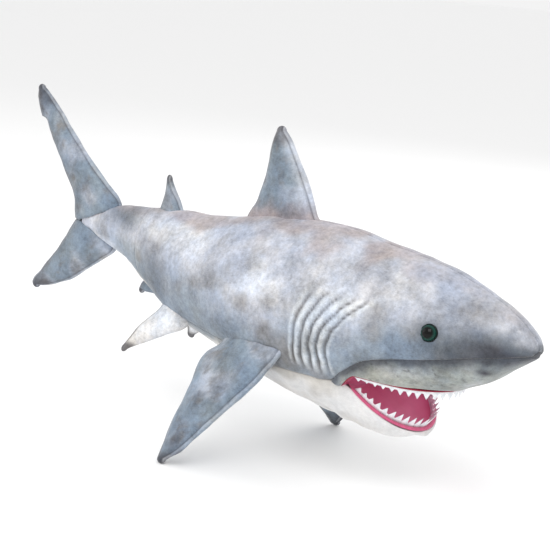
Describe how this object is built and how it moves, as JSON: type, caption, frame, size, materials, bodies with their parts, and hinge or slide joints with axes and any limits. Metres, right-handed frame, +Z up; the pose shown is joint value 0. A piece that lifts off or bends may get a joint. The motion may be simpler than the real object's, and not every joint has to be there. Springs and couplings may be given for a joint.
{
  "type": "plush shark",
  "caption": "Stuffed plush great shark with an open, hinged felt-toothed mouth, plastic eyes, pleated gills, padded fins and a bending tail.",
  "frame": {"origin": "bottom centre of the toy's box: under the body, level with the tips of the two pectoral fins, halfway between the nose and the rear tip of the tail fin", "axes": "+X towards the nose, +Y towards the shark's own left side, +Z up; the body is level and its mirror plane is Y = 0"},
  "size_m": [0.6572, 0.253, 0.327],
  "materials": {
    "grey_plush": "matte",
    "white_plush": "matte",
    "muzzle_plush": "matte",
    "fin_plush": "matte",
    "mouth_lining": "satin",
    "gum_piping": "satin",
    "tooth_felt": "satin",
    "eye_plastic": "gloss",
    "washer_plastic": "matte",
    "filling": "matte"
  },
  "bodies": {
    "body": {"side_panel_right": "grey_plush", "side_panel_left": "grey_plush", "gill_panel_right": "grey_plush", "gill_panel_left": "grey_plush", "gill_pleats_right": "grey_plush", "gill_pleats_left": "grey_plush", "belly_panel": "white_plush", "muzzle_panel": "muzzle_plush", "palate_lining": "mouth_lining", "upper_gum": "gum_piping", "upper_teeth": "tooth_felt", "eye_right": "eye_plastic", "eye_left": "eye_plastic", "eye_washer_right": "washer_plastic", "eye_washer_left": "washer_plastic", "body_filling": "filling"},
    "lower_jaw": {"jaw_panel": "white_plush", "lower_lip": "gum_piping", "mouth_floor_lining": "mouth_lining", "lower_teeth": "tooth_felt", "jaw_filling": "filling"},
    "tail": {"tail_panel_right": "grey_plush", "tail_panel_left": "grey_plush", "tail_belly_panel": "white_plush", "tail_filling": "filling"},
    "tail_fin": {"tail_point_panel": "grey_plush", "tail_point_filling": "filling", "upper_lobe_right": "fin_plush", "upper_lobe_left": "fin_plush", "upper_lobe_filling": "filling", "lower_lobe_right": "fin_plush", "lower_lobe_left": "fin_plush", "lower_lobe_filling": "filling"},
    "dorsal_fin": {"dorsal_fin_right": "fin_plush", "dorsal_fin_left": "fin_plush", "dorsal_fin_filling": "filling"},
    "second_dorsal": {"second_dorsal_right": "fin_plush", "second_dorsal_left": "fin_plush", "second_dorsal_filling": "filling"},
    "anal_fin": {"anal_fin_right": "fin_plush", "anal_fin_left": "fin_plush", "anal_fin_filling": "filling"},
    "pectoral_right": {"pectoral_right_top": "fin_plush", "pectoral_right_under": "fin_plush", "pectoral_right_filling": "filling"},
    "pectoral_left": {"pectoral_left_top": "fin_plush", "pectoral_left_under": "fin_plush", "pectoral_left_filling": "filling"},
    "pelvic_right": {"pelvic_right_top": "white_plush", "pelvic_right_under": "white_plush", "pelvic_right_filling": "filling"},
    "pelvic_left": {"pelvic_left_top": "white_plush", "pelvic_left_under": "white_plush", "pelvic_left_filling": "filling"}
  },
  "joints": [
    {"name": "jaw_open", "type": "hinge", "parent": "body", "child": "lower_jaw", "pos_m": [0.16447, 0, 0.1096], "axis": [0, 1, 0], "range_deg": [-38, 6], "stiffness_Nm_per_rad": 0.6},
    {"name": "tail_bend", "type": "hinge", "parent": "body", "child": "tail", "pos_m": [-0.09522, 0, 0.1725], "axis": [0, 0, 1], "range_deg": [-15, 15], "stiffness_Nm_per_rad": 1.5},
    {"name": "tail_fin_swing", "type": "hinge", "parent": "tail", "child": "tail_fin", "pos_m": [-0.18388, 0, 0.1895], "axis": [0, 0, 1], "range_deg": [-22, 22], "stiffness_Nm_per_rad": 0.4},
    {"name": "dorsal_flop", "type": "hinge", "parent": "body", "child": "dorsal_fin", "pos_m": [-0.01114, 0, 0.23476], "axis": [0.9921, 0, 0.1256], "range_deg": [-20, 20], "stiffness_Nm_per_rad": 0.2},
    {"name": "second_dorsal_flop", "type": "hinge", "parent": "tail", "child": "second_dorsal", "pos_m": [-0.13068, 0, 0.22221], "axis": [0.9965, 0, 0.0833], "range_deg": [-20, 20], "stiffness_Nm_per_rad": 0.006},
    {"name": "anal_flop", "type": "hinge", "parent": "tail", "child": "anal_fin", "pos_m": [-0.14727, 0, 0.14128], "axis": [0.868, 0, -0.4966], "range_deg": [-20, 20], "stiffness_Nm_per_rad": 0.0005},
    {"name": "pectoral_right_flap", "type": "hinge", "parent": "body", "child": "pectoral_right", "pos_m": [0.01175, -0.05559, 0.11256], "axis": [-0.9763, 0.2017, -0.0779], "range_deg": [-8, 35], "stiffness_Nm_per_rad": 1.2},
    {"name": "pectoral_left_flap", "type": "hinge", "parent": "body", "child": "pectoral_left", "pos_m": [0.01175, 0.05559, 0.11256], "axis": [0.9763, 0.2017, 0.0779], "range_deg": [-8, 35], "stiffness_Nm_per_rad": 1.2},
    {"name": "pelvic_right_flap", "type": "hinge", "parent": "body", "child": "pelvic_right", "pos_m": [-0.09808, -0.02521, 0.12255], "axis": [-0.9602, 0.1801, 0.2135], "range_deg": [-8, 30], "stiffness_Nm_per_rad": 0.04},
    {"name": "pelvic_left_flap", "type": "hinge", "parent": "body", "child": "pelvic_left", "pos_m": [-0.09808, 0.02521, 0.12255], "axis": [0.9602, 0.1801, -0.2135], "range_deg": [-8, 30], "stiffness_Nm_per_rad": 0.04}
  ]
}
